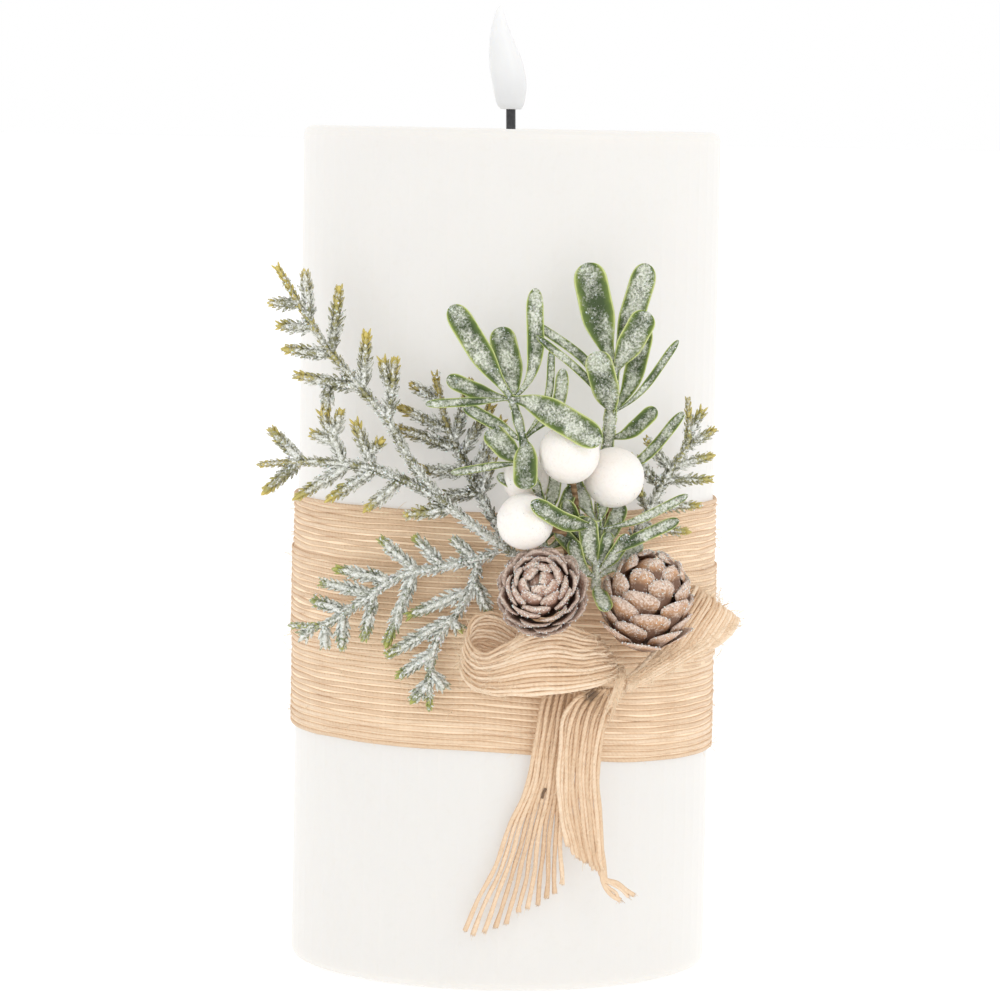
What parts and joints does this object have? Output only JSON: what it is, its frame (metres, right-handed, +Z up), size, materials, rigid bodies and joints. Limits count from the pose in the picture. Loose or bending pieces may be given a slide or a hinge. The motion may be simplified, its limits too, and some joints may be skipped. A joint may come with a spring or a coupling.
{
  "type": "flameless led candle",
  "caption": "Battery pillar candle with a flame-shaped lamp on a wick, a jute ribbon wrap tied in a bow, and frosted greenery, white berries and small cones on the front.",
  "frame": {"origin": "centre of the flat underside, on the candle's axis, at the surface it stands on", "axes": "+Z up along the candle's axis to the flame, -Y to the decorated front, +X to the right of the front"},
  "size_m": [0.0844, 0.0968, 0.1721],
  "materials": {
    "wax": "ivory paraffin wax, satin",
    "flame_plastic": "frosted translucent white",
    "wick_black": "black sleeve",
    "led": "warm white lamp, yellow phosphor",
    "wire_red": "red insulation",
    "wire_black": "black insulation",
    "copper_wire": "enamelled copper",
    "white_plastic": "moulded, fine matt texture",
    "black_plastic": "moulded black",
    "steel": "nickel plated",
    "cell_jacket": "plain dark foil jacket",
    "board_green": "green solder mask",
    "resistor_tan": "tan lacquer",
    "jute": "natural jute strands, unbleached",
    "foam_berry": "cream foam with sugary coat",
    "stem_brown": "brown paper wrapped wire",
    "cone_scale": "brown cone scales with white frosted rims",
    "leaf_green": "green moulded leaf with frost and glitter",
    "juniper_green": "grey green scale leaves with frost and glitter",
    "hot_glue": "cloudy hot-melt glue"
  },
  "bodies": {
    "candle": {"wax_shell": "wax", "flame_bulb": "flame_plastic", "wick_sleeve": "wick_black", "wick_holder": "white_plastic", "led_chip": "led", "led_lead_positive": "copper_wire", "led_lead_negative": "copper_wire", "lead_wire_red": "wire_red", "lead_wire_black": "wire_black", "base_housing": "white_plastic", "housing_cover": "white_plastic", "cover_screw_1": "steel", "cover_screw_2": "steel", "cover_screw_3": "steel", "battery_1": "cell_jacket", "battery_2": "cell_jacket", "contact_plate_positive": "steel", "contact_plate_negative": "steel", "contact_bridge": "steel", "contact_spring_1": "steel", "contact_spring_2": "steel", "circuit_board": "board_green", "controller_chip": "black_plastic", "capacitor": "black_plastic", "resistor": "resistor_tan", "timing_crystal": "steel", "switch_body": "steel", "jute_wrap": "jute", "bow_loop_left": "jute", "bow_loop_right": "jute", "bow_tail_left": "jute", "bow_tail_right": "jute", "bow_knot": "jute", "berry_1": "foam_berry", "berry_2": "foam_berry", "berry_3": "foam_berry", "berry_4": "foam_berry", "berry_stem_1": "stem_brown", "berry_stem_2": "stem_brown", "berry_stem_3": "stem_brown", "berry_stem_4": "stem_brown", "pinecone_left": "cone_scale", "pinecone_right": "cone_scale", "glue_pad_left": "hot_glue", "glue_pad_right": "hot_glue", "juniper_upper": "juniper_green", "juniper_lower": "juniper_green", "juniper_centre": "juniper_green", "juniper_right": "juniper_green", "mistletoe_left": "leaf_green", "mistletoe_right": "leaf_green", "mistletoe_centre": "leaf_green"},
    "battery_door": {"battery_door": "white_plastic"},
    "switch_knob": {"switch_knob": "black_plastic"}
  },
  "joints": [
    {"name": "battery_door_hinge", "type": "hinge", "parent": "candle", "child": "battery_door", "pos_m": [-0.0274, 0, 0], "axis": [0, 1, 0], "range_deg": [0, 60]},
    {"name": "switch_slide", "type": "slide", "parent": "candle", "child": "switch_knob", "axis": [1, 0, 0], "range_m": [-0.002, 0.002]}
  ]
}
